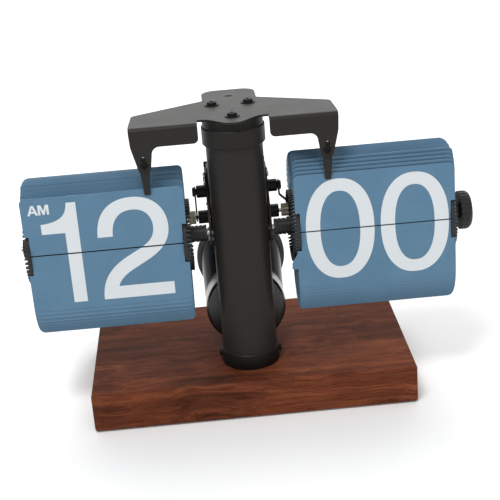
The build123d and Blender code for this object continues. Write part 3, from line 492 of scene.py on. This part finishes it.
def print_unit(unit, pitch, reading, following):
    """This reading on the two front leaves, and the following one behind them."""
    up = SPLIT_ANGLE + pitch / 2
    down = SPLIT_ANGLE - pitch / 2
    front = on_leaf(up, FRONT_LEAN, FRONT_PLAY)
    behind = on_leaf(up + pitch, SECOND_LEAN[pitch])
    hanging = on_leaf(down, 180, hanging_play(down, pitch))
    back = on_leaf(up, FRONT_LEAN, FRONT_PLAY, front=False)
    up_z, down_z = pivot(up)[1], pivot(down)[1]
    up_edge = up_z - BELOW[pitch] + PRINT_MARGIN
    down_edge = down_z + BELOW[pitch] - PRINT_MARGIN

    def upper(place):
        return lambda x, z, lift: place(x, z - up_z, lift)

    def lower(place):
        return lambda x, z, lift: place(x, down_z - z, lift)

    printed_half(f"{unit}_numeral_upper", reading, True, up_edge, upper(front), f"{unit}_flap")
    printed_half(f"{unit}_numeral_lower", reading, False, down_edge, lower(hanging), "stand")
    printed_half(f"{unit}_next_lower", following, False, down_edge, lower(back), f"{unit}_flap")
    printed_half(f"{unit}_next_upper", following, True, up_edge, upper(behind), "stand")


print_unit("hour", HOUR_PITCH, HOUR_READING, HOUR_READING)
print_unit("minute", MINUTE_PITCH, ZERO_ZERO, ZERO_ONE)


# ------------------------------------------------------------------ ear tips between the crown teeth
def ear(mesh, angle, x_low, x_high):
    """One leaf's ear tip: a small tab with its free end bevelled."""
    a = math.radians(angle)
    bevel_from = x_low + EAR_STRAIGHT * (x_high - x_low)
    tip_low, tip_high = EAR_TIP
    profile = [(x_low, 0.0), (x_low, 1.0), (bevel_from, 1.0), (x_high, tip_high), (x_high, tip_low),
               (bevel_from, 0.0)]
    sides = []
    for half in (-EAR_HALF, EAR_HALF):
        ring = []
        for x, share in profile:
            r = EAR_RADII[0] + share * (EAR_RADII[1] - EAR_RADII[0])
            y = AXIS_Y + r * math.cos(a) - half * math.sin(a)
            z = AXIS_Z + r * math.sin(a) + half * math.cos(a)
            ring.append(mesh.verts.new(Vector((x, y + COLUMN_Y, z)) * MM))
        sides.append(ring)
    count = len(profile)
    mesh.faces.new(sides[0])
    mesh.faces.new(reversed(sides[1]))
    for k in range(count):
        n = (k + 1) % count
        mesh.faces.new((sides[0][k], sides[1][k], sides[1][n], sides[0][n]))


def ear_tips(unit, pitch, side):
    """All the ear tips at both ends of a drum; side is -1 for the hours and 1 for the minutes."""
    for end, (near, far) in (("inner", EARS_IN[::-1]), ("outer", EARS_OUT)):
        mesh = bmesh.new()
        for k in range(round(360 / pitch)):
            ear(mesh, SPLIT_ANGLE + pitch / 2 + k * pitch, side * near, side * far)
        bmesh.ops.recalc_face_normals(mesh, faces=mesh.faces[:])
        piece = new_object(f"{unit}_ears_{end}", mesh, blue)
        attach(piece, f"{unit}_drum")


ear_tips("hour", HOUR_PITCH, -1)
ear_tips("minute", MINUTE_PITCH, 1)


# ------------------------------------------------------------------ floor, light, camera
def stage_floor():
    s = FLOOR_HALF
    data = bpy.data.meshes.new("floor")
    data.from_pydata([(-s, -s, 0), (s, -s, 0), (s, s, 0), (-s, s, 0)], [], [(0, 1, 2, 3)])
    data.materials.append(floor_white())
    floor = bpy.data.objects.new("floor", data)
    bpy.context.scene.collection.objects.link(floor)


def soft_box(name, where, target, width, height, watts):
    data = bpy.data.lights.new(name, "AREA")
    data.shape = "RECTANGLE"
    data.size, data.size_y = width, height
    data.energy = watts
    lamp = bpy.data.objects.new(name, data)
    lamp.location = where
    lamp.rotation_euler = (Vector(target) - Vector(where)).to_track_quat("-Z", "Y").to_euler()
    bpy.context.scene.collection.objects.link(lamp)


def world_light(strength, seen):
    """Even white light all round; the camera itself sees a brighter white."""
    world = bpy.data.worlds.new("studio")
    world.use_nodes = True
    tree = world.node_tree
    background = tree.nodes["Background"]
    background.inputs["Color"].default_value = (1.0, 1.0, 1.0, 1.0)
    direct = tree.nodes.new("ShaderNodeLightPath").outputs["Is Camera Ray"]
    power = tree.nodes.new("ShaderNodeMapRange")
    power.inputs["To Min"].default_value = strength
    power.inputs["To Max"].default_value = seen
    tree.links.new(direct, power.inputs["Value"])
    tree.links.new(power.outputs["Result"], background.inputs["Strength"])
    bpy.context.scene.world = world


def photo_camera():
    """The camera stands in front, a little left and above, and is rolled slightly."""
    yaw, pitch, roll = CAMERA_YAW, CAMERA_PITCH, CAMERA_ROLL
    forward = Vector((-math.sin(yaw) * math.cos(pitch), math.cos(yaw) * math.cos(pitch),
                      -math.sin(pitch)))
    right = Vector((math.cos(yaw), math.sin(yaw), 0.0))
    up = right.cross(forward)
    right_rolled = right * math.cos(roll) + up * math.sin(roll)
    up_rolled = up * math.cos(roll) - right * math.sin(roll)
    turn = Matrix((right_rolled, up_rolled, -forward)).transposed()
    data = bpy.data.cameras.new("photo_camera")
    data.sensor_width = SENSOR_MM
    data.lens = LENS_MM
    camera = bpy.data.objects.new("photo_camera", data)
    camera.matrix_world = Matrix.Translation(CAMERA_AT) @ turn.to_4x4()
    bpy.context.scene.collection.objects.link(camera)
    bpy.context.scene.camera = camera


stage_floor()
world_light(WORLD_LIGHT, WORLD_SEEN)
soft_box("key", where=(-0.35, -0.80, 1.70), target=(0, 0, 0.12), width=0.5, height=0.5, watts=15.5)
soft_box("fill", where=(0.55, -1.40, 0.80), target=(0, 0, 0.1), width=0.8, height=0.8, watts=4.0)
soft_box("back", where=(0.0, 1.30, 1.80), target=(0, 1.3, 0), width=3.0, height=1.6, watts=30.0)
soft_box("backdrop", where=(0.0, 1.90, 1.00), target=(0, 0, 0.25), width=2.6, height=1.2, watts=13.0)
photo_camera()
bpy.context.scene.view_settings.view_transform = "Standard"
